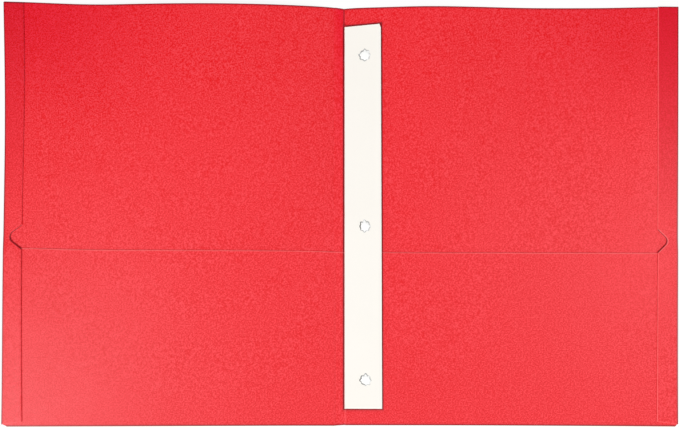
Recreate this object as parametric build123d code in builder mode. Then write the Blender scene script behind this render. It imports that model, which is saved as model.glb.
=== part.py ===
"""Two pocket folder of red paper, lying open, with a white fastener strip. Millimetres.

The folder lies open on the XY plane with its inside up. +X runs from the front cover to the back cover,
+Y from the pockets to the top edge. The origin is under the middle of the spine panel.
One creased sheet makes every red piece, so each flat panel and each fold of it is a solid of its own.
"""

import os
from math import cos, pi, sin

from build123d import *

os.makedirs("parts", exist_ok=True)

# Sheet
folder_height = 298.5
cover_width = 238.4
spine_width = 5.8
paper = 0.4
crease_clearance = 0.05

# Pockets
pocket_height = 124.0
pocket_space = 0.2
pocket_setback = 0.5
web_setback = 1.65
corner_cut_width = 3.0
corner_cut_height = 1.4

# Side flaps and the notch above each pocket
flap_width = 14.0
hem_space = 0.05
neck_slit = 0.2
notch_opening = 16.8
notch_depth = 8.5
notch_radius = 4.6
seam_slant = 1.8

# Fastener strip
strip_width = 27.3
strip_end_margin = 12.0
strip_thickness = 0.35
strip_inset = 0.3
strip_clearance = 0.05
flange_width = 7.0
flange_thickness = 0.3

# Eyelets
eyelet_inset = 14.6
eyelet_end_margin = 21.65
middle_eyelet_drop = 6.7
washer_radius = 3.2
shank_radius = 2.2
shank_clearance = 0.05
crown_teeth = 8
crown_tip_radius = 4.0
crown_root_radius = 2.9
crown_thickness = 0.12
dome_radius = 2.7
dome_height = 0.25
dome_edge_radius = 0.12

# Prongs
prong_length = 17.0
prong_width = 4.5
prong_thickness = 0.22
prong_tip_radius = 1.5
prong_bend_radius = 0.13
prong_root_gap = 0.2

# Heights of the layers, from the table up
pocket_bottom = paper + pocket_space
pocket_top = pocket_bottom + paper
seam_top = pocket_top + paper
hem_bottom = paper + hem_space
hem_top = hem_bottom + paper
strip_bottom = pocket_top + flange_thickness + strip_clearance
strip_top = strip_bottom + strip_thickness

# Radii of the folds
score_radius = paper / 2
bottom_fold_radius = pocket_top / 2
seam_fold_radius = seam_top / 2
hem_fold_radius = hem_top / 2
strip_fold_radius = (strip_top - pocket_top) / 2

# Places across the folder, measured out from its middle
crease = spine_width / 2
spine_reach = crease - score_radius - crease_clearance
panel_start = crease + score_radius + crease_clearance
pocket_start = crease + pocket_setback
panel_end = crease + cover_width - 2 * hem_fold_radius
hem_axis = panel_end + hem_fold_radius
hem_start = panel_end - crease_clearance
flap_inner_edge = crease + cover_width - flap_width
strip_axis = crease + strip_inset + strip_fold_radius
flange_start = strip_axis + strip_fold_radius
strip_start = flange_start + strip_clearance
strip_end = crease + strip_inset + strip_width
eyelet_x = crease + eyelet_inset

# Places along the folder
top_edge = folder_height / 2
panel_bottom = bottom_fold_radius - folder_height / 2
corner_top = panel_bottom + corner_cut_height
pocket_edge = pocket_height - folder_height / 2
notch_middle = pocket_edge + notch_opening / 2
hem_end = notch_middle + neck_slit / 2
seam_end = notch_middle - neck_slit / 2
strip_reach = top_edge - strip_end_margin
eyelet_reach = strip_reach - eyelet_end_margin
eyelet_places = {"upper": eyelet_reach, "middle": -middle_eyelet_drop, "lower": -eyelet_reach}


def save(piece, name):
    """Names a finished piece and writes it to its own file."""
    piece.part.label = name
    export_step(piece.part, f"parts/{name}.step")


def rod_along_y(x, y_low, y_high, z, radius):
    """A round bead of folded paper that runs along Y."""
    with BuildPart() as rod:
        with BuildSketch(Plane(origin=(x, y_low, z), x_dir=(1, 0, 0), z_dir=(0, 1, 0))):
            Circle(radius)
        extrude(amount=y_high - y_low)
    return rod


def half_rod(start, direction, bulge, length, radius):
    """A half-round fold whose flat side closes against the edges of the panels that it joins."""
    with BuildPart() as fold:
        with BuildSketch(Plane(origin=start, x_dir=bulge, z_dir=direction)):
            with BuildLine():
                CenterArc((0, 0), radius, -90, 180)
                Line((0, radius), (0, -radius))
            make_face()
        extrude(amount=length)
    return fold


def sheet(x_low, x_high, y_low, y_high, z_low, thickness):
    """A flat rectangle of paper or card."""
    middle = ((x_low + x_high) / 2, (y_low + y_high) / 2, z_low)
    with BuildPart() as panel:
        with BuildSketch(Plane(origin=middle)):
            Rectangle(abs(x_high - x_low), y_high - y_low)
        extrude(amount=thickness)
    return panel


def leaf_panel(side, x_start, y_high, z_low):
    """A flat panel from the spine to a leaf's outer edge, with its lower outer corner cut off."""
    with BuildPart() as panel:
        with BuildSketch(Plane.XY.offset(z_low)):
            with BuildLine():
                Polyline(
                    (side * x_start, panel_bottom),
                    (side * (panel_end - corner_cut_width), panel_bottom),
                    (side * panel_end, corner_top),
                    (side * panel_end, y_high),
                    (side * x_start, y_high),
                    close=True,
                )
            make_face()
        extrude(amount=paper)
    return panel


def side_flap(side, outer_x, corners_y, z_low):
    """A side flap, with its share of the round-bottomed notch cut from its inner edge.

    corners_y gives the heights of its lower outer, lower inner, upper inner and upper outer corners.
    """
    lower_outer, lower_inner, upper_inner, upper_outer = corners_y
    notch_centre = (side * (flap_inner_edge + notch_depth - notch_radius), notch_middle)
    mouth_x = side * flap_inner_edge
    with BuildPart() as flap:
        with BuildSketch(Plane.XY.offset(z_low)):
            with BuildLine():
                Polyline(
                    (side * outer_x, lower_outer),
                    (mouth_x, lower_inner),
                    (mouth_x, upper_inner),
                    (side * outer_x, upper_outer),
                    close=True,
                )
            make_face()
            with BuildLine(mode=Mode.PRIVATE) as notch:
                CenterArc(notch_centre, notch_radius, 0, 360)
                Line(
                    (mouth_x, notch_middle - notch_opening / 2),
                    (mouth_x, notch_middle + notch_opening / 2),
                )
            make_hull(notch.edges(), mode=Mode.SUBTRACT)
        extrude(amount=paper)
    return flap


def make_leaf(name, side):
    """One leaf: its cover, its pocket, its glued seam flap, its loose hem flap and their folds."""
    outward = (side, 0, 0)
    fold_length = panel_end - corner_cut_width - pocket_start
    fold_start = (side * pocket_start, panel_bottom, bottom_fold_radius)
    seam_fold_start = (side * panel_end, corner_top, seam_fold_radius)
    seam_corners = (corner_top, corner_top + seam_slant, seam_end, seam_end)
    hem_corners = (hem_end, hem_end, top_edge, top_edge)

    save(leaf_panel(side, panel_start, top_edge, 0), f"{name}_cover")
    save(leaf_panel(side, pocket_start, pocket_edge, pocket_bottom), f"{name}_pocket")
    save(
        half_rod(fold_start, outward, (0, -1, 0), fold_length, bottom_fold_radius),
        f"{name}_bottom_fold",
    )
    save(
        half_rod(seam_fold_start, (0, 1, 0), outward, seam_end - corner_top, seam_fold_radius),
        f"{name}_seam_fold",
    )
    save(side_flap(side, panel_end, seam_corners, pocket_top), f"{name}_seam_flap")
    save(
        rod_along_y(side * hem_axis, hem_end, top_edge, hem_fold_radius, hem_fold_radius),
        f"{name}_hem_fold",
    )
    save(side_flap(side, hem_start, hem_corners, hem_bottom), f"{name}_hem_flap")


def make_spine():
    """The spine panel, the two score lines that it turns on, and the pocket's stretch across it."""
    save(sheet(-spine_reach, spine_reach, panel_bottom, top_edge, 0, paper), "spine_panel")
    for name, side in (("back", 1), ("front", -1)):
        save(
            rod_along_y(side * crease, panel_bottom, top_edge, score_radius, score_radius),
            f"{name}_score_line",
        )
    web_reach = crease - web_setback
    save(
        sheet(-web_reach, web_reach, panel_bottom, pocket_edge, pocket_bottom, paper),
        "spine_pocket_web",
    )
    save(
        half_rod(
            (-web_reach, panel_bottom, bottom_fold_radius),
            (1, 0, 0),
            (0, -1, 0),
            2 * web_reach,
            bottom_fold_radius,
        ),
        "spine_bottom_fold",
    )


def make_strip():
    """The white card strip, folded along its left edge over a flange that is glued to the back leaf."""
    flange_end = flange_start + flange_width
    save(
        sheet(flange_start, flange_end, -strip_reach, strip_reach, pocket_top, flange_thickness),
        "strip_glue_flange",
    )
    axis_z = pocket_top + strip_fold_radius
    save(
        rod_along_y(strip_axis, -strip_reach, strip_reach, axis_z, strip_fold_radius),
        "strip_fold",
    )
    middle = ((strip_start + strip_end) / 2, 0, strip_bottom)
    with BuildPart() as strip:
        with BuildSketch(Plane(origin=middle)):
            Rectangle(strip_end - strip_start, 2 * strip_reach)
            with Locations(*((eyelet_x - middle[0], y) for y in eyelet_places.values())):
                Circle(shank_radius + shank_clearance, mode=Mode.SUBTRACT)
        extrude(amount=strip_thickness)
    save(strip, "fastener_strip")


def make_eyelet(place, y):
    """A crimped eyelet: a washer below the strip, a shank through it, a toothed crown and a disc on top."""
    with BuildPart() as eyelet:
        with BuildSketch(Plane(origin=(eyelet_x, y, pocket_top + strip_clearance))):
            Circle(washer_radius)
        extrude(amount=strip_bottom - pocket_top - strip_clearance)
        with BuildSketch(Plane(origin=(eyelet_x, y, strip_bottom))):
            Circle(shank_radius)
        extrude(amount=strip_thickness)
        with BuildSketch(Plane(origin=(eyelet_x, y, strip_top))):
            with BuildLine():
                corners = []
                for n in range(2 * crown_teeth):
                    angle = pi * n / crown_teeth
                    radius = crown_root_radius if n % 2 else crown_tip_radius
                    corners.append((radius * sin(angle), radius * cos(angle)))
                Polyline(*corners, close=True)
            make_face()
        extrude(amount=crown_thickness)
        with BuildSketch(Plane(origin=(eyelet_x, y, strip_top + crown_thickness))):
            Circle(dome_radius)
        extrude(amount=dome_height)
        fillet(eyelet.edges().group_by(Axis.Z)[-1], dome_edge_radius)
    save(eyelet, f"{place}_eyelet")


def make_prong(place, y, way, direction):
    """A flat steel prong under the strip, which bends at the round root beside its eyelet's washer."""
    root_y = y + direction * (washer_radius + prong_root_gap)
    axis_z = (pocket_top + strip_bottom) / 2
    left_x = eyelet_x - prong_width / 2
    with BuildPart() as prong:
        with BuildSketch(Plane(origin=(left_x, root_y, axis_z), x_dir=(0, 1, 0), z_dir=(1, 0, 0))):
            Circle(prong_bend_radius)
            with Locations((direction * prong_length / 2, 0)):
                Rectangle(prong_length, prong_thickness)
        extrude(amount=prong_width)
        tip = prong.edges().filter_by(Axis.Z).group_by(Axis.Y)[-1 if direction > 0 else 0]
        fillet(tip, prong_tip_radius)
    save(prong, f"{place}_prong_{way}")


make_leaf("back", 1)
make_leaf("front", -1)
make_spine()
make_strip()
for place, y in eyelet_places.items():
    make_eyelet(place, y)
    make_prong(place, y, "up", 1)
    make_prong(place, y, "down", -1)
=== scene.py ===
"""Looks of the two pocket folder, in metres and in the part's own frame.

The open folder lies inside up: the front leaf on the left, the back leaf on the right, +Y to the top edge.
Every red piece is a stretch of one bowed sheet of paper, and one function, sheet_point, says how it bows.
"""

from math import asin, atan2, cos, hypot, pi, radians, sin, sqrt, tan

import bpy
import numpy as np
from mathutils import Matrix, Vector


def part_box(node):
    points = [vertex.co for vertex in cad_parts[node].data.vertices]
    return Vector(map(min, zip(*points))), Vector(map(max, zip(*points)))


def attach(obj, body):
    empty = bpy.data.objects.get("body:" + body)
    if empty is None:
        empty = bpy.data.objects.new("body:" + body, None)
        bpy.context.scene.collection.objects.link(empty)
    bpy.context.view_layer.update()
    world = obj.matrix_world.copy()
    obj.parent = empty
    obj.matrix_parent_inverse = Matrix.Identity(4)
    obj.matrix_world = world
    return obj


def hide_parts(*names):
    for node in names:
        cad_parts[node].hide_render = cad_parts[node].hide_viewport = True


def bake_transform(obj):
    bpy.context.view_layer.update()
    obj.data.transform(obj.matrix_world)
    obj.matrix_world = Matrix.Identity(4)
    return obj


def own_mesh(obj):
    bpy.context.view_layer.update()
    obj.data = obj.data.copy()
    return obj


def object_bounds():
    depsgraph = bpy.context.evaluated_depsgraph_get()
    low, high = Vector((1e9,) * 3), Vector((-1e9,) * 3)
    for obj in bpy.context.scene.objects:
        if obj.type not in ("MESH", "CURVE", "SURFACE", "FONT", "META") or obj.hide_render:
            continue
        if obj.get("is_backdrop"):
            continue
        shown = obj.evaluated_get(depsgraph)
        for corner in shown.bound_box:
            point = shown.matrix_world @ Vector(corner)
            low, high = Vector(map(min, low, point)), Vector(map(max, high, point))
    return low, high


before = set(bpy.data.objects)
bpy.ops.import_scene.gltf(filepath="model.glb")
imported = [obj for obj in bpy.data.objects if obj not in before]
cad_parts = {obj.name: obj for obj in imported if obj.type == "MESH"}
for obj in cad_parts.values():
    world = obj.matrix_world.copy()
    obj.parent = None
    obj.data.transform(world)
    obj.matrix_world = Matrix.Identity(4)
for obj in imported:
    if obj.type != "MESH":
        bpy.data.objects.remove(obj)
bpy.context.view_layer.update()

MM = 0.001

# Sizes from the frame
cover_low, cover_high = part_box("back_cover")
score_low, score_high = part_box("back_score_line")
pocket_low, pocket_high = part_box("back_pocket")
seam_low, seam_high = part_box("back_seam_flap")
hem_low, hem_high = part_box("back_hem_flap")
strip_low, strip_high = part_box("fastener_strip")
fold_low, fold_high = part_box("strip_fold")
flange_low, flange_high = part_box("strip_glue_flange")
paper = cover_high.z - cover_low.z
card = strip_high.z - strip_low.z
flange_card = flange_high.z - flange_low.z
crease = (score_low.x + score_high.x) / 2
foot = cover_low.y
top = cover_high.y
leaf_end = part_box("back_seam_fold")[1].x
leaf_width = leaf_end - crease
pocket_edge = pocket_high.y
cover_mid = paper / 2
pocket_mid = (pocket_low.z + pocket_high.z) / 2
seam_mid = (seam_low.z + seam_high.z) / 2
hem_mid = (hem_low.z + hem_high.z) / 2
flange_mid = (flange_low.z + flange_high.z) / 2
cover_end = leaf_end - seam_high.z / 2
flap_inner = hem_low.x
flap_width = cover_end - flap_inner
corner_cut_height = seam_low.y - foot
flap_foot = foot + corner_cut_height
strip_axis = (fold_low.x + fold_high.x) / 2
strip_fold_radius = (strip_low.z + card / 2 - flange_mid) / 2
strip_fold_x = fold_low.x + strip_fold_radius + card / 2
sides = {"front": -1, "back": 1}

# How the sheet bows
front_crest = 7.3 * MM
front_crest_skew = 0.72
front_crest_power = 1.3
front_root = 1.5 * MM
front_end_spread = 1.2 * MM
front_end_length = 0.75 * MM
front_corner_length = 4.0 * MM
front_corner_start = 0.66
front_corner_end = 1.05
front_waist = 1.85 * MM
front_waist_place = 72 * MM
front_waist_reach = 88 * MM
front_foot_swing = 1.0 * MM
front_swing_power = 0.7
front_foot_spread = 1.1 * MM
back_swell = 3.0 * MM
back_swell_place = 62 * MM
back_swell_inner_reach = 36 * MM
back_swell_outer_reach = 45 * MM
back_end_swell = 2.0 * MM
back_end_place = 226 * MM
back_end_reach = 32 * MM
back_root_fade = 6 * MM
back_top_drop = 0.33 * MM
back_drop_start = 0.4
back_drop_end = 0.6
back_foot_swing = 0.95 * MM
back_swing_power = 2.0
back_foot_spread = 0.5 * MM
foot_hollow = 0.15 * MM
foot_fade_power = 4
spine_dip = 0.82 * MM
spine_dip_reach = 7.3 * MM
spine_length = 0.37 * MM
spine_length_fade = 25 * MM
groove_depth = 0.22 * MM
groove_reach = 0.45 * MM
groove_fade = 2 * MM

# Pockets, flaps and their notches
crease_half = 1.2 * MM
web_half = 1.6 * MM
web_thin = 0.3
pocket_settle = 0.15 * MM
rim_curl = 0.03 * MM
rim_curl_reach = 0.7 * MM
front_pocket_rise = 1.6 * MM
back_pocket_drop = 0.65 * MM
pocket_slope_reach = 42 * MM
corner_cut_width = {"front": 3.0 * MM, "back": 1.3 * MM}
hem_spring = 0.05 * MM
seam_spring = 0.15 * MM
seam_slant = 1.8 * MM
seam_slant_height = 8 * MM
flap_drop_below = 2 * MM
flap_drop_above = 4 * MM
flap_top = {"front": top - 0.5 * MM, "back": top + 0.2 * MM}
flap_wider = {"front": -0.15 * MM, "back": 1.05 * MM}
flap_lean = {"front": 1.4 * MM, "back": 0.2 * MM}
flap_lean_start = 10 * MM
flap_lean_end = 126 * MM
flap_foot_wider = {"front": 1.5 * MM, "back": 0.7 * MM}
edge_taper = 0.45
edge_taper_reach = 0.5 * MM
neck_below = 3 * MM
neck_above = 6 * MM
notches = {
    "front": {"top": -7.5 * MM, "bottom": -24.3 * MM, "depth": 8.4 * MM, "radius": 4.6 * MM},
    "back": {"top": -9.0 * MM, "bottom": -25.3 * MM, "depth": 6.6 * MM, "radius": 4.2 * MM},
}

# Fastener strip
strip_top = strip_high.y - 2.3 * MM
strip_foot = strip_low.y + 0.4 * MM
strip_top_slant = 1.9 * MM
strip_slant_power = 4
strip_edge = strip_high.x - 0.6 * MM
strip_edge_lean = 1.0 * MM
strip_slack = 0.35 * MM
strip_top_lift = 1.0 * MM
strip_lift_power = 1.8
corner_clip_width = 1.0 * MM
corner_clip_height = 2.6 * MM
ripple_height = 0.05 * MM
ripple_length = 1.7 * MM
ripple_place = 5.6 * MM
ripple_reach = 1.5 * MM
flange_drop_length = 25 * MM
flange_drop_start = 0.3 * MM
flange_drop_end = 3 * MM

# Eyelets
eyelet_shift = {
    "upper": (0.0, -0.9 * MM),
    "middle": (0.2 * MM, -0.15 * MM),
    "lower": (0.6 * MM, -0.7 * MM),
}
eyelets = {}
for place, (shift_x, shift_y) in eyelet_shift.items():
    low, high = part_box(f"{place}_eyelet")
    eyelets[place] = ((low.x + high.x) / 2 + shift_x, (low.y + high.y) / 2 + shift_y)
# How grey each eyelet's teeth are: uncoated steel and painted shadow.
eyelet_bare_and_shade = {"upper": 0.75, "middle": 1.0, "lower": 1.05}
eyelet_phase_step = 1.7
disc_radius = 2.85 * MM
disc_height = 0.30 * MM
disc_edge = 0.2 * MM
crown_root = 3.7 * MM
crown_tip = 4.9 * MM
crown_height = 0.14 * MM
crown_gap = 0.05 * MM
crown_teeth = 8
tooth_edge = 0.95 * MM
tooth_bevel = 0.8
tooth_sway = 0.7
tooth_size = 0.6
tooth_slow_wave = 0.25
tooth_quick_wave = 0.2
tooth_least = 0.25
spike_size = 0.5
spike_width = 0.05
# Grey along the teeth, partly uncoated steel and partly painted shadow, strongest on the left.
bare_and_shade_level = 0.75
bare_and_shade_swing = 0.25
bare_and_shade_side = 1.5 * pi
washer_radius = 3.2 * MM
washer_height = 0.3 * MM
washer_flat = 0.9
washer_wall = 0.6

# Half widths of the bends of the crease and the web, which nothing uses to bend them
crease_bend_half = 1.0 * MM
web_bend_half = 1.4 * MM

# Fineness of the meshes
edge_lines = np.array([0.25, 0.5, 0.8, 1.2, 1.8]) * MM
page_step = 2.4 * MM
spine_step = 0.3 * MM
crease_step = 0.1 * MM
pocket_step = 2.2 * MM
flap_step = 0.9 * MM
strip_step = 0.7 * MM
flange_step = 2.0 * MM
close_step = 0.25 * MM
close_below = 1.5 * MM
close_above = 2 * MM
notch_step = 0.35 * MM
notch_margin = 1 * MM
web_columns = 24
flange_columns = 24
bottom_fold_steps = 9
fold_steps = 11
arch_steps = 600
eyelet_points = 160
disc_edge_steps = 5
sharp_angle = radians(38)

# Painted shade, painted shadow and painted highlights on the paper
dark_edge_fade = 0.85 * MM
pale_edge_fade = 0.40 * MM
# Painted highlights along cut edges: the pocket's rim, the back flap's edge and the flaps' feet.
pocket_pale = 0.8
flap_pale = {"front": 0.0, "back": 0.8}
flap_foot_pale = 0.5
# Painted shade on the flaps: along the front flap's edge and on the hems towards their top.
flap_dark = {"front": 0.16, "back": 0.0}
hem_dark = 0.19
hem_deep = {"front": 0.75, "back": 1.0}
hem_shade_power = {"front": 1.0, "back": 0.7}
# Painted shade towards each cover's outer upper corner.
corner_shade = {"front": 1.0, "back": 0.6}
corner_shade_start = 0.3
corner_shade_foot = 40 * MM
corner_dark = 0.10
corner_deep = 0.72
# Painted shadow along the cut edges in the notches.
notch_dark = 1.0
notch_dark_fade = 0.55 * MM
notch_pale_place = 0.75 * MM
# Painted shade in the back crease, and a painted shadow round the strip.
crease_shade_dark = 0.75
crease_shade_place = crease - 0.1 * MM
crease_shade_fade = 0.55 * MM
strip_shadow_dark = 1.0
strip_shadow_place = 0.45 * MM
strip_shadow_top_gap = 0.75 * MM
strip_shadow_foot_gap = 0.25 * MM
strip_shadow_fold_gap = 0.25 * MM
strip_shadow_fade = 0.60 * MM
# Painted shade along the spine.
spine_shade_start = -8 * MM
spine_shade_full = 0.5 * MM
spine_shade_end = 0.5 * MM
spine_shade_stop = 0.2 * MM
spine_shade_strength = 0.8
spine_shade_power = 1.5

# Grain, and how each finish takes it
grain_detail = 2.0
mottle_detail = 3.0
fleck_detail = 1.0
fleck_warp = 1.1
fleck_width = 0.06
fleck_break_scale = 0.8
light_fleck = {"level": 0.54, "low": 0.46, "high": 0.58}
dark_fleck = {"level": 0.44, "low": 0.54, "high": 0.42}
grain_relief = 0.6
fleck_relief = 0.5
grain_low = 0.3
grain_high = 0.7
grain_scales = ("Grain Scale", "Fleck Scale", "Mottle Scale")
grain_results = ("Grain", "Light Flecks", "Dark Flecks", "Mottle", "Height")
finishes = {
    "red_paper": {"scales": (1050, 420, 14), "rough": (0.40, 0.50), "bump": 0.6, "depth": 0.10 * MM},
    "white_card": {"scales": (1400, 500, 20), "rough": (0.50, 0.62), "bump": 0.3, "depth": 0.03 * MM},
    "white_eyelet": {"scales": (1600, 700, 330), "rough": (0.32, 0.48), "bump": 0.25, "depth": 0.02 * MM},
    "prong_steel": {"scales": (2600, 900, 160), "rough": (0.28, 0.45), "bump": 0.3, "depth": 0.02 * MM},
}

# Colours, and how strongly each is laid on
red_fibre = (0.74, 0.0, 0.003, 1)
red_fibre_light = (0.88, 0.048, 0.064, 1)
red_fibre_range = (0.36, 0.64)
red_mottle = (0.98, 0.06, 0.08, 1)
red_mottle_range = (0.35, 0.65)
red_mottle_share = 0.08
red_light_fleck = (0.95, 0.12, 0.13, 1)
red_light_share = 0.14
red_dark_fleck = (0.70, 0.0, 0.004, 1)
red_dark_share = 0.25
# Painted shade: a deeper red laid on as a multiply.
red_deep_shade = (0.94, 0.0, 0.5, 1)
# Painted shade and painted shadow lines in a near black red.
red_painted_shade = (0.13, 0.003, 0.008, 1)
painted_shade_share = 0.92
# Painted highlights along cut edges in a pale red.
red_painted_highlight = (1.0, 0.21, 0.21, 1)
painted_highlight_share = 0.75
red_specular = 0.27
card_shade = (0.89, 0.855, 0.795, 1)
card_light = (0.92, 0.885, 0.83, 1)
card_fleck = (0.80, 0.78, 0.74, 1)
card_fleck_share = 0.10
card_specular = 0.35
lacquer_shade = (0.92, 0.92, 0.90, 1)
lacquer_light = (0.97, 0.97, 0.96, 1)
lacquer_chip_range = (0.36, 0.50)
lacquer_chip_least = 0.25
bare_steel_and_shade = (0.14, 0.137, 0.13, 1)
bare_metallic = 0.4
steel_shade = (0.50, 0.50, 0.49, 1)
steel_light = (0.70, 0.70, 0.69, 1)
steel_stain = (0.42, 0.39, 0.35, 1)
steel_stain_range = (0.55, 0.75)
steel_stain_share = 0.4
steel_rolled = (1.0, 0.06, 1.0)
white = (1, 1, 1, 1)
black = (0, 0, 0, 1)

# Floor, light and camera
floor_half = 6.0
floor_gap = 0.02 * MM
floor_shade = (0.93, 0.93, 0.93, 1)
floor_light = (0.95, 0.95, 0.95, 1)
floor_speck_scale = 40.0
floor_speck_detail = 2.0
floor_roughness = 0.9
floor_glow = 0.85
lamps = {
    "key_lamp": {"place": (-2.14, -1.35, 2.27), "power": 59.5, "size": 0.7},
    "fill_lamp": {"place": (1.26, -0.15, 1.49), "power": 9.6, "size": 0.6},
}
room_dim = 0.0
room_bright = 0.99
room_dim_side = 0.22
room_bright_side = -0.39
ceiling_glow = 0.68
ceiling_start = 0.88
horizon_white = 0.15
horizon_fade = 0.35
camera_height = 0.36
camera_x = -0.43 * MM
camera_y = 2.2 * MM
view_width = 486 * MM
sensor_width = 36.0


def lines(low, high, step, close_ends=True):
    """Places from low to high, one about every step, with closer ones by both ends."""
    close = edge_lines if close_ends else edge_lines[:0]
    even = np.linspace(low, high, int(round(abs(high - low) / step)) + 1)
    return np.unique(np.concatenate([even, low + close, high - close]))


def with_close_lines(places, low, high, below=close_below, above=close_above, step=close_step):
    """The same places, with closer ones added from a little below low to a little above high."""
    close = np.arange(low - below, high + above, step)
    kept = close[(close > places[0]) & (close < places[-1])]
    return np.unique(np.concatenate([places, kept]))


def ease(value, low, high):
    """0 below low, 1 above high, and a smooth step between them."""
    share = np.clip((value - low) / (high - low), 0, 1)
    return share * share * (3 - 2 * share)


def by_edge(distance, fade):
    """Mark of an edge: 1 on the edge, and a bell curve that fades away from it."""
    return np.exp(-(distance / fade) ** 2)


def front_arch(out):
    """Front leaf's top edge: a power of a sine from just off the crease, its crest drawn to the spine."""
    share = np.clip(out - front_root, 0, None) / (leaf_width - front_root)
    wave = np.clip(np.sin(pi * np.clip(share, 0, 1) ** front_crest_skew), 0, 1)
    return front_crest * wave ** front_crest_power


def back_arch(out):
    """Back leaf's top edge: a bell-shaped swell beside the strip and a lower one by the outer edge."""
    reach = np.where(out < back_swell_place, back_swell_inner_reach, back_swell_outer_reach)
    swell = back_swell * np.exp(-((out - back_swell_place) / reach) ** 2)
    end = back_end_swell * np.exp(-((out - back_end_place) / back_end_reach) ** 2)
    return (swell + end) * (1 - np.exp(-np.clip(out, 0, None) / back_root_fade))


out_steps = np.linspace(0, leaf_width, arch_steps)


def shortening(arch):
    """How far a bowed leaf draws in: half the square of its slope, added up from the crease outwards."""
    slope = np.gradient(arch(out_steps), out_steps)
    return np.concatenate([[0], np.cumsum(slope[1:] ** 2 / 2 * np.diff(out_steps))])


front_shortening = shortening(front_arch)
back_shortening = shortening(back_arch)


def sheet_point(across, up, lift):
    """A point of the bowed sheet.

    across is the flat distance from the spine's middle, up the place along the page, lift the height above
    the underside. Each leaf rises as its arch times a smooth step of the height on the page, and draws in
    as the square of that step. The front leaf also has a bell-shaped waist, an outer edge that spreads
    along a square, and an upper corner that a smooth step and a plain slope make longer. A smooth step
    lowers the back leaf's top edge. The spine stretches along the page, evenly more from the back crease to
    the front one, and that fades out along an exponential on the front leaf. The back crease is a groove,
    a narrow bell curve. The top edge dips to it along an exponential, and the foot swings down and spreads
    along powers of the distance out.
    """
    across, up, lift = np.broadcast_arrays(across, up, lift)
    out = np.abs(across) - crease
    on_front = across < 0
    height = np.clip((up - foot) / (top - foot), 0, 1)
    rise = ease(up, foot, top)
    reach = np.clip(out, 0, None)
    share = reach / leaf_width
    by_foot = (1 - height) ** foot_fade_power
    front_drawn_in = np.interp(reach, out_steps, front_shortening)
    back_drawn_in = np.interp(reach, out_steps, back_shortening)
    drawn_in = rise ** 2 * np.where(on_front, front_drawn_in, back_drawn_in)
    spread = by_foot * share * np.where(on_front, front_foot_spread, back_foot_spread)
    waist = front_waist * share * np.exp(-((up - front_waist_place) / front_waist_reach) ** 2)
    wider = front_end_spread * rise * share ** 2
    x = across - np.sign(across) * (drawn_in - spread) + np.where(on_front, waist - wider, 0)
    longer = front_corner_length * ease(share, front_corner_start, front_corner_end)
    longer = longer + front_end_length * share * up / top
    drop = back_top_drop * ease(share, back_drop_start, back_drop_end)
    dip = spine_dip * np.exp(-np.abs(across - crease) / spine_dip_reach)
    front_swing = front_foot_swing * share ** front_swing_power
    back_swing = back_foot_swing * share ** back_swing_power
    swing = np.where(on_front, front_swing, back_swing)
    spine_share = np.clip((crease - across) / (2 * crease), 0, 1)
    taller = spine_length * spine_share * np.exp(-np.where(on_front, reach, 0) / spine_length_fade)
    y = up + rise * (np.where(on_front, longer, -drop) - dip) - by_foot * (swing - foot_hollow)
    y = y + taller * up / top
    arch = np.where(on_front, front_arch(reach), back_arch(reach))
    groove = np.where(on_front, 0, groove_depth * np.exp(-(out / groove_reach) ** 2))
    groove = groove * ease(up, strip_foot - groove_fade, strip_foot + groove_fade)
    z = rise * arch - groove + lift
    return np.stack([x, y, z], axis=-1)


def unit_normals(middle):
    """Unit normals of a grid: the cross product of its steps along the two parameters."""
    normal = np.cross(np.gradient(middle, axis=0), np.gradient(middle, axis=1))
    return normal / np.linalg.norm(normal, axis=2, keepdims=True)


def shell_faces(rows, columns):
    """Faces of a closed sheet: a grid, the same grid behind it turned round, and the rim between them."""
    count = rows * columns
    index = np.arange(count).reshape(rows, columns)
    face = np.stack([index[:-1, :-1], index[1:, :-1], index[1:, 1:], index[:-1, 1:]], axis=-1)
    face = face.reshape(-1, 4)
    border = np.concatenate([index[:-1, 0], index[-1, :-1], index[:0:-1, -1], index[0, :0:-1]])
    after = np.roll(border, -1)
    rim = np.stack([border + count, after + count, after, border], axis=1)
    return np.concatenate([face, face[:, ::-1] + count, rim]).tolist()


def make_piece(name, vertices, faces, material, marks):
    """A mesh object at the origin, smooth but for sharp edges, with one number a vertex for each mark."""
    mesh = bpy.data.meshes.new(name)
    mesh.from_pydata(vertices.tolist(), [], faces)
    for mark, values in marks.items():
        attribute = mesh.attributes.new(mark, "FLOAT", "POINT")
        attribute.data.foreach_set("value", values.astype(np.float32))
    mesh.shade_smooth()
    mesh.set_sharp_from_angle(angle=sharp_angle)
    mesh.materials.append(material)
    piece = bpy.data.objects.new(name, mesh)
    bpy.context.scene.collection.objects.link(piece)
    return piece


def make_sheet(name, middle, thickness, material, slot="red_paper", dark=0.0, pale=0.0, deep=0.0):
    """A sheet: its middle surface moved half its thickness along its normals, both ways.

    From 0 to 1, dark marks painted shade and painted shadow lines, pale marks painted highlights along cut
    edges, and deep marks painted shade as a deeper red.
    """
    half = unit_normals(middle) * np.broadcast_to(thickness, middle.shape[:2])[..., None] / 2
    vertices = np.concatenate([(middle + half).reshape(-1, 3), (middle - half).reshape(-1, 3)])
    marks = {}
    for mark, values in (("painted_shade_mark", dark), ("painted_highlight_mark", pale), ("painted_deep_shade", deep)):
        one_side = np.broadcast_to(values, middle.shape[:2]).reshape(-1)
        marks[mark] = np.concatenate([one_side, one_side])
    return make_piece(name, vertices, shell_faces(*middle.shape[:2]), material, marks)


def strip_along(y):
    """Share of the strip's length at a height: 0 at its foot, 1 at its top."""
    return np.clip((y - strip_foot) / (strip_top - strip_foot), 0, 1)


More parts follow.
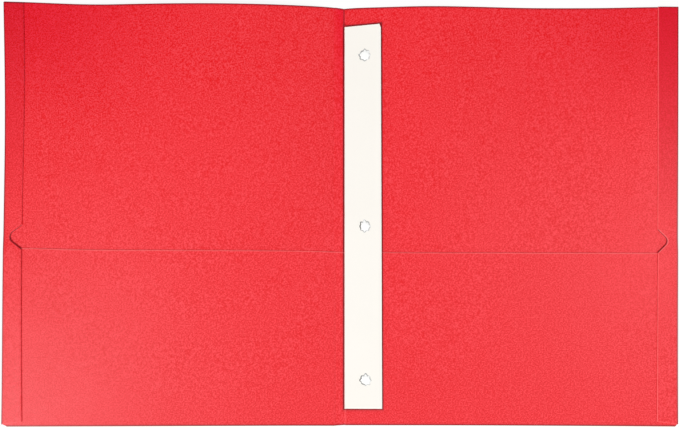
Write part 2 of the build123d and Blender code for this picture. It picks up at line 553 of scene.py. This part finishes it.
def painted_shadow_lines(points):
    """Painted shade lines: a bell curve across the back crease above the strip's foot, painted shade in the
    crease, and bell curves across the outline of the strip, a painted shadow of the strip."""
    x, y = points[..., 0], points[..., 1]
    beside = np.maximum(fold_low.x - strip_shadow_fold_gap - x, x - strip_edge + strip_edge_lean * strip_along(y))
    upper = strip_top + strip_top_slant * np.clip((x - strip_axis) / (strip_edge - strip_axis), 0, 1)
    beyond = np.maximum(y - upper - strip_shadow_top_gap, strip_foot - y - strip_shadow_foot_gap)
    # Painted shadow round the strip, and painted shade in the back crease.
    strip_shadow = strip_shadow_dark * by_edge(np.maximum(beside, beyond) - strip_shadow_place, strip_shadow_fade)
    score = crease_shade_dark * by_edge(x - crease_shade_place, crease_shade_fade) * (y > strip_foot)
    return np.maximum(score, strip_shadow)


def spine_painted_shade(points):
    """Painted shade on the band along the spine: a smooth step across it, cut off at the back crease, times
    a power of the height above the page's middle."""
    x, y = points[..., 0], points[..., 1]
    band = ease(x, spine_shade_start, spine_shade_full) * ease(crease - x, spine_shade_stop, spine_shade_end)
    return spine_shade_strength * band * np.clip(y / top, 0, 1) ** spine_shade_power


def make_page(name, middle, ups, material, corner_shading=0.0):
    """A stretch of the opened sheet, with painted shade along its top edge, its painted shade lines and
    painted shade on the spine.

    The last argument, from 0 to 1, is how much painted shade darkens it.
    """
    # Painted shade along the top edge, the painted shade lines, and towards the outer upper corner.
    dark = np.maximum(by_edge(top - ups, dark_edge_fade)[None, :], painted_shadow_lines(middle))
    dark = np.maximum(dark, corner_dark * corner_shading)
    # Painted shade as a deeper red on the spine and towards the outer upper corner.
    deep = np.maximum(spine_painted_shade(middle), corner_deep * corner_shading)
    return make_sheet(name, middle, paper, material, dark=dark, deep=deep)


def notch_middle(leaf):
    """Height of the middle of a leaf's notch."""
    return (notches[leaf]["top"] + notches[leaf]["bottom"]) / 2


def above_pocket(up, leaf):
    """How far a side flap is down on the cover: 0 beside the pocket, a smooth step to 1 at the notch."""
    return ease(up, pocket_edge - flap_drop_below, notch_middle(leaf) + flap_drop_above)


def fold_radius(up, leaf):
    """Radius of the outer fold: half of the step from the cover up to its side flap."""
    return (seam_mid + (hem_mid - seam_mid) * above_pocket(up, leaf) - cover_mid) / 2


def fold_place(up, leaf):
    """Flat distance to the middle of the outer fold, whose outermost line stays straight."""
    return cover_end + (hem_mid - cover_mid) / 2 - fold_radius(up, leaf)


def outer_limit(up, leaf):
    """Flat distance to a leaf's outer fold, drawn in by the cut corner at its foot."""
    cut = corner_cut_width[leaf] * np.clip(1 - (up - foot) / corner_cut_height, 0, 1)
    return fold_place(up, leaf) - cut


def make_cover(leaf, material):
    """A cover: the sheet itself, from its crease to its outer fold, with painted shade towards its outer
    upper corner by a smooth step each way."""
    ups = with_close_lines(lines(foot, top, page_step), strip_top, strip_top + strip_top_slant)
    start = crease + crease_half
    flat = with_close_lines(lines(start, cover_end, page_step), strip_edge - strip_edge_lean, strip_edge)
    shares = (flat - start) / (cover_end - start)
    across = sides[leaf] * (start + shares[:, None] * (outer_limit(ups, leaf)[None, :] - start))
    middle = sheet_point(across, ups[None, :], cover_mid)
    # Painted shade, rising towards the outer upper corner.
    outwards = ease(shares, corner_shade_start, 1)[:, None]
    corner_shading = corner_shade[leaf] * outwards * ease(ups, corner_shade_foot, top)[None, :]
    return make_page(f"{leaf}_cover_sheet", middle, ups, material, corner_shading)


def make_spine(material):
    """The spine panel: the sheet itself between its two creases."""
    ups = lines(foot, top, page_step)
    across = lines(crease_half - crease, crease - crease_half, spine_step, close_ends=False)
    middle = sheet_point(across[:, None], ups[None, :], cover_mid)
    return make_page("spine_panel_sheet", middle, ups, material)


def make_crease(leaf, material):
    """A crease: the sheet itself on both sides of it, with its groove."""
    ups = lines(foot, top, page_step)
    flat = lines(crease - crease_half, crease + crease_half, crease_step, close_ends=False)
    middle = sheet_point(sides[leaf] * flat[:, None], ups[None, :], cover_mid)
    return make_page(f"{leaf}_crease_fold", middle, ups, material)


def pocket_top_edge(across):
    """Height of the pocket's top edge: up to the left and down to the right of the spine, levelling out
    along an exponential."""
    share = 1 - np.exp(-np.abs(across) / pocket_slope_reach)
    return pocket_edge + share * np.where(across < 0, front_pocket_rise, -back_pocket_drop)


def make_pocket(leaf, near, far, material, name):
    """A stretch of the pocket: half a circle round the bottom fold, then the panel up to its top edge.

    The panel settles onto the cover by a square of the height, and its rim curls up along an exponential.
    A smooth step brings it down onto the spine, where it is pressed thinner.
    """
    side = sides[leaf]
    radius = (pocket_mid - cover_mid) / 2
    angles = np.linspace(-pi / 2, pi / 2, bottom_fold_steps)
    fold_up = foot - radius * np.cos(angles)
    step = min(pocket_step, (far - near) / web_columns)
    flat = lines(near, far, step, close_ends=False)
    flat = with_close_lines(flat, strip_edge - strip_edge_lean, strip_edge)
    rows = with_close_lines(lines(foot, pocket_edge, pocket_step), strip_foot, strip_foot)
    panel = (rows[None, 1:] - foot) / (pocket_edge - foot)
    on_spine = 1 - ease(flat, crease, crease + web_half)[:, None]
    thickness = paper * (1 - web_thin * on_spine)
    level = pocket_mid + (paper + thickness / 2 - pocket_mid) * on_spine
    fold_lift = cover_mid + (level - cover_mid) / 2 * (1 + np.sin(angles))
    rim = pocket_top_edge(side * flat)[:, None]
    panel_up = foot + panel * (rim - foot)
    settled = pocket_settle * panel ** 2 * (1 - on_spine)
    panel_lift = level - settled + rim_curl * np.exp(-(rim - panel_up) / rim_curl_reach)
    up = np.concatenate([np.broadcast_to(fold_up, fold_lift.shape), panel_up], axis=1)
    lift = np.concatenate([fold_lift, panel_lift], axis=1)
    shares = ((flat - near) / (far - near))[:, None]
    across = side * (near + shares * (np.minimum(far, outer_limit(up, leaf)) - near))
    middle = sheet_point(across, up, lift)
    # Painted shade along the bottom fold and the painted shade lines; a painted highlight along the top
    # rim.
    dark = np.maximum(by_edge(up - foot + radius, dark_edge_fade), painted_shadow_lines(middle))
    pale = pocket_pale * by_edge(rim - up, pale_edge_fade)
    return make_sheet(name, middle, thickness, material, dark=dark, pale=pale)


def notch_cut(up, leaf):
    """Depth of a leaf's notch at a height: straight flanks from its mouth, tangent to a round bottom."""
    notch = notches[leaf]
    half = (notch["top"] - notch["bottom"]) / 2
    radius = notch["radius"]
    centre = notch["depth"] - radius
    angle = atan2(centre, half) + asin(radius / hypot(half, centre))
    flank = sqrt(half ** 2 + centre ** 2 - radius ** 2)
    tangent = half - flank * cos(angle)
    away = np.abs(up - notch_middle(leaf))
    round_part = centre + np.sqrt(np.clip(radius ** 2 - away ** 2, 0, None))
    return np.where(away < tangent, round_part, np.clip(tan(angle) * (half - away), 0, None))


def flap_point(ups, leaf):
    """A side flap: half a circle round the outer fold, then the flap inwards to its edge or to the notch.

    The fold is wider where it goes round the pocket. The flap's inner edge springs up along a square, and
    it grows wider towards its top along a smooth step and towards its foot along a power. Also gives each
    point's distance from the cut edge and from the fold.
    """
    by_foot = np.clip(1 - (ups - foot) / (top - foot), 0, 1) ** foot_fade_power
    wider = flap_lean[leaf] * ease(ups, flap_lean_start, flap_lean_end) + flap_foot_wider[leaf] * by_foot
    inner = flap_inner - flap_wider[leaf] - wider
    radius = fold_radius(ups, leaf)
    spring = seam_spring + (hem_spring - seam_spring) * above_pocket(ups, leaf)
    angles = np.linspace(-pi / 2, pi / 2, fold_steps)[:, None]
    fold = fold_place(ups, leaf)
    width = fold - inner - notch_cut(ups, leaf)
    shares = (lines(0, flap_width, flap_step) / flap_width)[1:, None]
    across = np.concatenate([fold + radius * np.cos(angles), fold - shares * width])
    fold_lift = cover_mid + radius + radius * np.sin(angles)
    lift = np.concatenate([fold_lift, cover_mid + 2 * radius + spring * shares ** 2])
    slant = seam_slant * np.concatenate([np.zeros_like(angles), shares])
    up = ups + slant * np.clip(1 - (ups - flap_foot) / seam_slant_height, 0, 1)
    from_edge = np.concatenate([np.ones_like(angles) * width, (1 - shares) * width])
    from_fold = fold + radius - across
    return sheet_point(sides[leaf] * across, up, lift), from_edge, from_fold


def make_flaps(leaf, material):
    """The sheets of a leaf's side flap by name: the seam flap, the neck beside the notch, the hem flap, and
    the folds of the last two.

    The paper thins along an exponential towards the flap's cut edge. Painted shade darkens it and deepens
    its red towards its top along a power of the height.
    """
    notch = notches[leaf]
    middle = notch_middle(leaf)
    heights = [flap_foot, middle - neck_below, middle + neck_above, flap_top[leaf]]
    made = {}
    for stretch, low, high in zip(("seam_flap", "flap_neck", "hem_flap"), heights[:-1], heights[1:]):
        ups = lines(low, high, page_step)
        ups = with_close_lines(ups, notch["bottom"], notch["top"], notch_margin, notch_margin, notch_step)
        points, from_edge, from_fold = flap_point(ups[None, :], leaf)
        in_notch = (notch_cut(ups, leaf) > 0)[None, :]
        # Painted highlight along the cut edge, set back inside the notch, and along the foot.
        pale_place = np.where(in_notch, notch_pale_place, 0)
        pale = flap_pale[leaf] * by_edge(from_edge - pale_place, pale_edge_fade)
        pale = np.maximum(pale, flap_foot_pale * by_edge(ups - flap_foot, pale_edge_fade)[None, :])
        # Painted shade along the fold and the top, along the cut edge in the notch and on the front flap,
        # and towards the top.
        edges = by_edge(np.minimum(from_fold, flap_top[leaf] - ups[None, :]), dark_edge_fade)
        cut_edge = by_edge(from_edge, notch_dark_fade)
        darkened = np.clip(ups / top, 0, 1)[None, :] ** hem_shade_power[leaf]
        dark = np.maximum(edges, notch_dark * in_notch * cut_edge)
        dark = np.maximum(dark, hem_dark * darkened + flap_dark[leaf] * cut_edge)
        deep = np.broadcast_to(hem_deep[leaf] * darkened, from_edge.shape)
        thickness = paper * (1 - edge_taper * np.exp(-from_edge / edge_taper_reach))
        points[..., 2] -= (paper - thickness) / 2
        pieces = {stretch: slice(fold_steps - 1, None), f"{stretch}_fold": slice(fold_steps)}
        if stretch == "seam_flap":
            pieces = {stretch: slice(None)}
        for piece, rows in pieces.items():
            name = f"{leaf}_{piece}_sheet"
            marks = {"dark": dark[rows], "pale": pale[rows], "deep": deep[rows]}
            made[piece] = make_sheet(name, points[rows], thickness[rows], material, **marks)
    return made


def strip_lift(x, y):
    """Height of the strip's underside: a plane from its fold whose slope grows as a power towards the top,
    with faint rings, a cosine under a bell curve, pressed into the card round each eyelet."""
    free_edge = strip_slack + strip_top_lift * strip_along(y) ** strip_lift_power
    lift = strip_low.z + free_edge * (x - strip_axis) / (strip_edge - strip_axis)
    for eyelet_x, eyelet_y in eyelets.values():
        away = np.hypot(x - eyelet_x, y - eyelet_y) - ripple_place
        ripple = np.cos(2 * pi * away / ripple_length) * np.exp(-(away / ripple_reach) ** 2)
        lift = lift + ripple_height * ripple
    return lift


def make_strip(material):
    """The card strip on the plane of strip_lift: a little narrower towards its top, which slants along a
    power of the height, and with its upper outer corner clipped."""
    ys = lines(strip_foot, strip_top, strip_step)
    shares = (lines(strip_axis, strip_edge, strip_step) - strip_axis) / (strip_edge - strip_axis)
    along = strip_along(ys)
    clip = corner_clip_width * np.clip((ys - strip_top + corner_clip_height) / corner_clip_height, 0, 1)
    right = strip_edge - strip_edge_lean * along - clip
    x = strip_axis + shares[:, None] * (right[None, :] - strip_axis)
    y = ys[None, :] + strip_top_slant * shares[:, None] * along[None, :] ** strip_slant_power
    middle = np.stack([x, y, strip_lift(x, y) + card / 2], axis=-1)
    return make_sheet("fastener_strip_card", middle, card, material, "white_card")


def make_flange(material):
    """The strip's glued flange and its fold.

    The flange follows the sheet's bow. It lies on the pocket, and above that a smooth step takes it down to
    the cover. Half a circle carries it round to the strip's left edge.
    """
    ys = lines(strip_foot, strip_top, flange_step)
    flat = np.linspace(flange_high.x, strip_fold_x, flange_columns)[:, None]
    drop = (pocket_high.z - paper) * ease(ys, pocket_edge, pocket_edge + flange_drop_length)[None, :]
    drop = drop * ease(flat, strip_fold_x + flange_drop_start, strip_fold_x + flange_drop_end)
    bow = sheet_point(flat, ys[None, :], 0)[..., 2]
    angles = np.linspace(-pi / 2, pi / 2, fold_steps)[1:, None]
    round_x = strip_fold_x - strip_fold_radius * np.cos(angles)
    round_z = flange_mid + strip_fold_radius + strip_fold_radius * np.sin(angles)
    x, y = np.broadcast_arrays(np.concatenate([flat, round_x]), ys[None, :])
    z = np.concatenate([flange_mid + bow - drop, np.broadcast_to(round_z, (len(angles), len(ys)))])
    middle = np.stack([x, y, z], axis=-1)
    return make_sheet("strip_flange_card", middle, flange_card, material, "white_card")


def closed_rings(rings, offset):
    """Vertices and faces of a closed form: rings of equal count whose first and last close on a point.

    Its vertices are numbered from offset.
    """
    count = rings.shape[1]
    poles = np.stack([rings[0].mean(axis=0), rings[-1].mean(axis=0)])
    body = rings[1:-1]
    index = np.arange(body.shape[0] * count).reshape(body.shape[0], count) + 2 + offset
    after = np.roll(index, -1, axis=1)
    quads = np.stack([index[:-1], index[1:], after[1:], after[:-1]], axis=-1).reshape(-1, 4)
    first = np.stack([np.full(count, offset), index[0], after[0]], axis=1)
    last = np.stack([np.full(count, offset + 1), after[-1], index[-1]], axis=1)
    return np.concatenate([poles, body.reshape(-1, 3)]), quads.tolist() + first.tolist() + last.tolist()


def crown_outline(turn, phase):
    """Radius of an eyelet's crown: a circle with a triangle wave, one for each tooth.

    Slower waves make the teeth uneven, and a bell curve makes the top one longer.
    """
    tooth = 0.5 + np.arcsin(np.cos(crown_teeth * turn + tooth_sway * np.sin(turn + phase))) / pi
    uneven = tooth_size + tooth_slow_wave * np.sin(2 * turn + phase)
    uneven = uneven + tooth_quick_wave * np.sin(3 * turn + 2 * phase)
    spike = spike_size * np.exp((np.cos(turn) - 1) / spike_width)
    return crown_root + (crown_tip - crown_root) * tooth * (np.clip(uneven, tooth_least, 1) + spike)


def make_eyelet(place, phase, material):
    """A crimped eyelet: a low round disc on a toothed crown above the card, and a washer below it.

    Each ring is a radius, a height and whether it is greyed, and lies on the card's own slope. The grey
    along the teeth is partly uncoated steel at their cut edges and partly painted shadow of the gaps
    between them, heavier on the left along a slow wave.
    """
    turn = np.linspace(0, 2 * pi, eyelet_points, endpoint=False)
    outline = crown_outline(turn, phase)
    # How grey the crown's rings are round the eyelet: uncoated steel and painted shadow, most on the left.
    bare_and_shade_round = eyelet_bare_and_shade[place] * (bare_and_shade_level + bare_and_shade_swing * np.cos(turn - bare_and_shade_side))
    tooth_start = np.maximum(outline - tooth_edge, disc_radius + crown_gap)
    tooth_shoulder = np.maximum(outline - tooth_bevel * tooth_edge, disc_radius + 2 * crown_gap)
    crown = [(0.0, disc_height, 0), (disc_radius / 2, disc_height, 0)]
    for angle in np.linspace(0, pi / 2, disc_edge_steps):
        inset, fall = disc_edge * (1 - sin(angle)), disc_edge * (1 - cos(angle))
        crown.append((disc_radius - inset, disc_height - fall, 0))
    crown.append((disc_radius, crown_height, 0))
    crown.append((tooth_start, crown_height, 0))
    crown.append((tooth_shoulder, tooth_bevel * crown_height, 1))
    crown.append((outline, 0.0, 1))
    crown.append((0.0, 0.0, 0))
    washer = [(0.0, 0.0, 1), (washer_radius, 0.0, 1), (washer_radius, -washer_wall * washer_height, 1)]
    washer += [(washer_radius * washer_flat, -washer_height, 1), (0.0, -washer_height, 1)]
    vertices = np.empty((0, 3))
    faces = []
    marks = []
    for rings, base in ((crown, card), (washer, 0.0)):
        points = []
        for radius, height, _ in rings:
            x = eyelets[place][0] + radius * np.sin(turn)
            y = eyelets[place][1] + radius * np.cos(turn)
            points.append(np.stack([x, y, strip_lift(x, y) + base + height], axis=-1))
        ring_vertices, ring_faces = closed_rings(np.array(points)[:, ::-1], len(vertices))
        vertices = np.concatenate([vertices, ring_vertices])
        faces += ring_faces
        bare_and_shade = np.array([darkened for _, _, darkened in rings])
        marks += [bare_and_shade[[0, -1]], np.outer(bare_and_shade[1:-1], bare_and_shade_round[::-1]).reshape(-1)]
    marks = {"bare_and_shade": np.concatenate(marks)}
    return make_piece(f"{place}_eyelet_crown", vertices, faces, material, marks)


def add_node(tree, kind, **values):
    """A shader node with its named properties set and its named or numbered inputs filled or linked."""
    inputs = values.pop("inputs", {})
    node = tree.nodes.new(kind)
    for name, value in values.items():
        setattr(node, name, value)
    for name, value in inputs.items():
        if isinstance(value, bpy.types.NodeSocket):
            tree.links.new(value, node.inputs[name])
        else:
            node.inputs[name].default_value = value
    return node


def calculate(tree, operation, first, second=0.0):
    """A Math node's result."""
    return add_node(tree, "ShaderNodeMath", operation=operation, inputs={0: first, 1: second}).outputs[0]


def remap(tree, value, low, high, to_low, to_high):
    """A clamped linear map of a value from one range to another."""
    inputs = {0: value, 1: low, 2: high, 3: to_low, 4: to_high}
    return add_node(tree, "ShaderNodeMapRange", inputs=inputs).outputs[0]


def tint(tree, share, first, second, blend="MIX"):
    """Two colours mixed by a share."""
    inputs = {0: share, 6: first, 7: second}
    return add_node(tree, "ShaderNodeMix", data_type="RGBA", blend_type=blend, inputs=inputs).outputs[2]


def lay_on(tree, mask, strength, under, over):
    """One colour laid on another where a mask shows, at a strength."""
    return tint(tree, calculate(tree, "MULTIPLY", mask, strength), under, over)


def mark_value(tree, name):
    """A mark that the mesh carries at its vertices."""
    return add_node(tree, "ShaderNodeAttribute", attribute_name=name).outputs["Fac"]


def fibre_grain_group():
    """Grain: fine noise, slow mottle, and short curved flecks, light and dark, where a warped noise crosses
    one of two values."""
    tree = bpy.data.node_groups.new("fibre_grain", "ShaderNodeTree")
    tree.interface.new_socket("Place", in_out="INPUT", socket_type="NodeSocketVector")
    for name in grain_scales:
        tree.interface.new_socket(name, in_out="INPUT", socket_type="NodeSocketFloat")
    for name in grain_results:
        tree.interface.new_socket(name, in_out="OUTPUT", socket_type="NodeSocketFloat")
    given = tree.nodes.new("NodeGroupInput").outputs
    result = tree.nodes.new("NodeGroupOutput").inputs

    def noise(scale, detail, distortion=0.0):
        """Noise at the given place."""
        inputs = {"Vector": given["Place"], "Scale": scale, "Detail": detail, "Distortion": distortion}
        return add_node(tree, "ShaderNodeTexNoise", inputs=inputs).outputs["Fac"]

    grain = noise(given["Grain Scale"], grain_detail)
    warped = noise(given["Fleck Scale"], fleck_detail, fleck_warp)
    broken = noise(calculate(tree, "MULTIPLY", given["Fleck Scale"], fleck_break_scale), fleck_detail)

    def flecks(level, low, high):
        """Threads where the warped noise is near a level, broken up by the other noise."""
        off_level = calculate(tree, "ABSOLUTE", calculate(tree, "SUBTRACT", warped, level))
        near_level = remap(tree, off_level, 0.0, fleck_width, 1.0, 0.0)
        return calculate(tree, "MULTIPLY", near_level, remap(tree, broken, low, high, 0.0, 1.0))

    light = flecks(**light_fleck)
    dark = flecks(**dark_fleck)
    relief = calculate(tree, "MULTIPLY", calculate(tree, "SUBTRACT", light, dark), fleck_relief)
    height = calculate(tree, "ADD", calculate(tree, "MULTIPLY", grain, grain_relief), relief)
    mottle = noise(given["Mottle Scale"], mottle_detail)
    for name, value in zip(grain_results, (grain, light, dark, mottle, height)):
        tree.links.new(value, result[name])
    return tree


def new_material(name):
    """A material with a Principled BSDF, its tree and its Object coordinates."""
    material = bpy.data.materials.new(name)
    material.use_nodes = True
    tree = material.node_tree
    place = add_node(tree, "ShaderNodeTexCoord").outputs["Object"]
    return material, tree, tree.nodes["Principled BSDF"], place


def grained_material(name, grain_group, drawn_out=None):
    """A material with the grain at its own scales, its roughness and its relief following the grain.

    drawn_out, where given, scales the place along each axis before the grain is laid there.
    """
    material, tree, surface, place = new_material(name)
    finish = finishes[name]
    if drawn_out:
        inputs = {"Vector": place, "Scale": drawn_out}
        place = add_node(tree, "ShaderNodeMapping", inputs=inputs).outputs[0]
    inputs = {"Place": place, **dict(zip(grain_scales, finish["scales"]))}
    grain = add_node(tree, "ShaderNodeGroup", node_tree=grain_group, inputs=inputs).outputs
    rough = remap(tree, grain["Grain"], grain_low, grain_high, *finish["rough"])
    tree.links.new(rough, surface.inputs["Roughness"])
    inputs = {"Strength": finish["bump"], "Distance": finish["depth"], "Height": grain["Height"]}
    bump = add_node(tree, "ShaderNodeBump", inputs=inputs)
    tree.links.new(bump.outputs["Normal"], surface.inputs["Normal"])
    return material, tree, surface, grain


def red_paper_material(grain_group):
    """Uncoated red paper: grain, flecks and slow mottle, with painted shade as a deeper red and as dark
    lines, and painted highlights along cut edges."""
    material, tree, surface, grain = grained_material("red_paper", grain_group)
    colour = tint(tree, remap(tree, grain["Grain"], *red_fibre_range, 0.0, 1.0), red_fibre, red_fibre_light)
    slow = remap(tree, grain["Mottle"], *red_mottle_range, 0.0, red_mottle_share)
    colour = tint(tree, slow, colour, red_mottle)
    colour = lay_on(tree, grain["Light Flecks"], red_light_share, colour, red_light_fleck)
    colour = lay_on(tree, grain["Dark Flecks"], red_dark_share, colour, red_dark_fleck)
    # Painted shade as a deeper red, painted shade lines in a near black red, and painted highlights in a
    # pale red.
    colour = tint(tree, mark_value(tree, "painted_deep_shade"), colour, red_deep_shade, "MULTIPLY")
    colour = lay_on(tree, mark_value(tree, "painted_shade_mark"), painted_shade_share, colour, red_painted_shade)
    colour = lay_on(tree, mark_value(tree, "painted_highlight_mark"), painted_highlight_share, colour, red_painted_highlight)
    tree.links.new(colour, surface.inputs["Base Color"])
    surface.inputs["Specular IOR Level"].default_value = red_specular
    return material


def white_card_material(grain_group):
    """Smooth white card: faint warm mottle and grain."""
    material, tree, surface, grain = grained_material("white_card", grain_group)
    colour = tint(tree, grain["Mottle"], card_shade, card_light)
    colour = lay_on(tree, grain["Dark Flecks"], card_fleck_share, colour, card_fleck)
    tree.links.new(colour, surface.inputs["Base Color"])
    surface.inputs["Specular IOR Level"].default_value = card_specular
    return material


def eyelet_material(grain_group):
    """White lacquer on thin steel, grey in patches along the teeth: partly uncoated metal, partly painted
    shadow of the gaps between them.
    """
    material, tree, surface, grain = grained_material("white_eyelet", grain_group)
    chipped = remap(tree, grain["Mottle"], *lacquer_chip_range, lacquer_chip_least, 1.0)
    # Grey of uncoated steel and painted shadow along the teeth, broken up in patches.
    darkened = calculate(tree, "MULTIPLY", mark_value(tree, "bare_and_shade"), chipped)
    lacquer = tint(tree, grain["Grain"], lacquer_shade, lacquer_light)
    tree.links.new(tint(tree, darkened, lacquer, bare_steel_and_shade), surface.inputs["Base Color"])
    tree.links.new(calculate(tree, "MULTIPLY", darkened, bare_metallic), surface.inputs["Metallic"])
    return material


def prong_material(grain_group):
    """Plain strip steel, rolled lengthwise: grain drawn out along Y, with faint stains."""
    material, tree, surface, grain = grained_material("prong_steel", grain_group, steel_rolled)
    colour = tint(tree, grain["Grain"], steel_shade, steel_light)
    stain = remap(tree, grain["Mottle"], *steel_stain_range, 0.0, steel_stain_share)
    tree.links.new(tint(tree, stain, colour, steel_stain), surface.inputs["Base Color"])
    surface.inputs["Metallic"].default_value = 1.0
    return material


def floor_material():
    """A plain white floor that keeps the object's shadow and glows only where it is seen."""
    material, tree, surface, place = new_material("pale_floor")
    inputs = {"Vector": place, "Scale": floor_speck_scale, "Detail": floor_speck_detail}
    speck = add_node(tree, "ShaderNodeTexNoise", inputs=inputs).outputs["Fac"]
    colour = tint(tree, speck, floor_shade, floor_light)
    surface.inputs["Roughness"].default_value = floor_roughness
    surface.inputs["Specular IOR Level"].default_value = 0.0
    ray = add_node(tree, "ShaderNodeLightPath").outputs
    seen = calculate(tree, "MAXIMUM", ray["Is Camera Ray"], ray["Is Glossy Ray"])
    seen = calculate(tree, "MAXIMUM", seen, ray["Is Transmission Ray"])
    glow = calculate(tree, "MULTIPLY", seen, floor_glow)
    tree.links.new(tint(tree, glow, colour, black), surface.inputs["Base Color"])
    surface.inputs["Emission Color"].default_value = white
    tree.links.new(glow, surface.inputs["Emission Strength"])
    return material


def make_floor():
    """The pale floor: one square, a hair below the folder."""
    corners = np.array([(-1, -1), (1, -1), (1, 1), (-1, 1)]) * floor_half
    vertices = np.column_stack([corners, np.full(4, -floor_gap)])
    mesh = bpy.data.meshes.new("pale_floor")
    mesh.from_pydata(vertices.tolist(), [], [(0, 1, 2, 3)])
    mesh.materials.append(floor_material())
    floor = bpy.data.objects.new("pale_floor", mesh)
    bpy.context.scene.collection.objects.link(floor)
    floor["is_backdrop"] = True


def make_lamps():
    """Square soft lamps that point at the middle of the folder."""
    for name, values in lamps.items():
        data = bpy.data.lights.new(name, "AREA")
        data.energy = values["power"]
        data.size = values["size"]
        lamp = bpy.data.objects.new(name, data)
        lamp.location = values["place"]
        lamp.rotation_euler = (-Vector(values["place"])).to_track_quat("-Z", "Y").to_euler()
        bpy.context.scene.collection.objects.link(lamp)


def make_world():
    """A pale room: its strength follows the direction's y, dim beyond the folder's top edge. By the
    direction's z it is white along the horizon and has a glow round the zenith."""
    world = bpy.data.worlds.new("studio")
    world.use_nodes = True
    tree = world.node_tree
    direction = add_node(tree, "ShaderNodeTexCoord").outputs["Generated"]
    parts = add_node(tree, "ShaderNodeSeparateXYZ", inputs={0: direction}).outputs
    walls = remap(tree, parts["Y"], room_bright_side, room_dim_side, room_bright, room_dim)
    ceiling = remap(tree, parts["Z"], ceiling_start, 1.0, 0.0, ceiling_glow)
    horizon = remap(tree, parts["Z"], horizon_white, horizon_fade, 1.0, 0.0)
    strength = calculate(tree, "ADD", calculate(tree, "MAXIMUM", walls, horizon), ceiling)
    tree.nodes["Background"].inputs["Color"].default_value = white
    tree.links.new(strength, tree.nodes["Background"].inputs["Strength"])
    bpy.context.scene.world = world


def make_camera():
    """A camera straight above the folder, with the photo's field of view."""
    data = bpy.data.cameras.new("camera")
    data.sensor_fit = "HORIZONTAL"
    data.sensor_width = sensor_width
    data.lens = sensor_width * camera_height / view_width
    camera = bpy.data.objects.new("camera", data)
    camera.location = (camera_x, camera_y, camera_height)
    bpy.context.scene.collection.objects.link(camera)
    bpy.context.scene.camera = camera
    bpy.context.scene.view_settings.view_transform = "Standard"


def flatten(piece):
    """Gives a piece its own copy of its mesh."""
    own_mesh(piece)


def bend_flaps(leaf, neck, hem):
    """Bakes the transforms of a hem flap and its neck.

    It also finds the heights of the neck's two ends on the outer fold, which nothing uses.
    """
    side = sides[leaf]
    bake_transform(hem)
    neck_ends = notch_middle(leaf) + np.array([-neck_below, neck_above])
    neck_foot, neck_top = sheet_point(side * cover_end, neck_ends, hem_mid)[:, 1]
    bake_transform(neck)


def dress_leaf(leaf, material):
    """A leaf's cover, pocket, side flaps, crease and half of the pocket's web. The cover, the pocket, the
    seam flap and the folds of the neck and the hem go on the cover's body.
    """
    body = f"{leaf}_cover"
    cover = make_cover(leaf, material)
    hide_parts(f"{leaf}_cover")
    pocket = make_pocket(leaf, crease + web_half, cover_end, material, f"{leaf}_pocket_sheet")
    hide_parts(f"{leaf}_pocket", f"{leaf}_bottom_fold")
    flaps = make_flaps(leaf, material)
    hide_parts(f"{leaf}_seam_flap", f"{leaf}_seam_fold")
    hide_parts(f"{leaf}_hem_fold")
    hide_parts(f"{leaf}_hem_flap")
    levels = [(cover, cover_mid), (pocket, pocket_mid), (flaps["seam_flap"], seam_mid)]
    levels += [(flaps["flap_neck_fold"], cover_mid), (flaps["hem_flap_fold"], cover_mid)]
    for piece, level in levels:
        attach(piece, body)
        if leaf == "front":
            flatten(piece)
    bend_flaps(leaf, flaps["flap_neck"], flaps["hem_flap"])
    fold = make_crease(leaf, material)
    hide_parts(f"{leaf}_score_line")
    web = make_pocket(leaf, 0, crease + web_half, material, f"{leaf}_pocket_web")
    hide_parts("spine_pocket_web", "spine_bottom_fold")
    for piece, half in ((fold, crease_bend_half), (web, web_bend_half)):
        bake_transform(piece)


def dress_strip(card_finish, eyelet_finish):
    """The white strip, its flange and its eyelets. The strip and its eyelets go on the strip's body."""
    flange = make_flange(card_finish)
    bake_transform(flange)
    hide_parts("strip_glue_flange", "strip_fold")
    pieces = {"fastener_strip": make_strip(card_finish)}
    for number, place in enumerate(eyelets):
        pieces[f"{place}_eyelet"] = make_eyelet(place, eyelet_phase_step * number, eyelet_finish)
    for node, piece in pieces.items():
        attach(piece, "fastener_strip")
        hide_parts(node)
        flatten(piece)


grain_group = fibre_grain_group()
red_paper = red_paper_material(grain_group)
white_card = white_card_material(grain_group)
white_eyelet = eyelet_material(grain_group)
prong_steel = prong_material(grain_group)

spine = make_spine(red_paper)
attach(spine, "spine")
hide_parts("spine_panel")
for leaf in sides:
    dress_leaf(leaf, red_paper)
dress_strip(white_card, white_eyelet)
for node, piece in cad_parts.items():
    if "_prong_" in node:
        piece.data.materials.clear()
        piece.data.materials.append(prong_steel)

make_floor()
make_lamps()
make_world()
make_camera()

low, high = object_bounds()
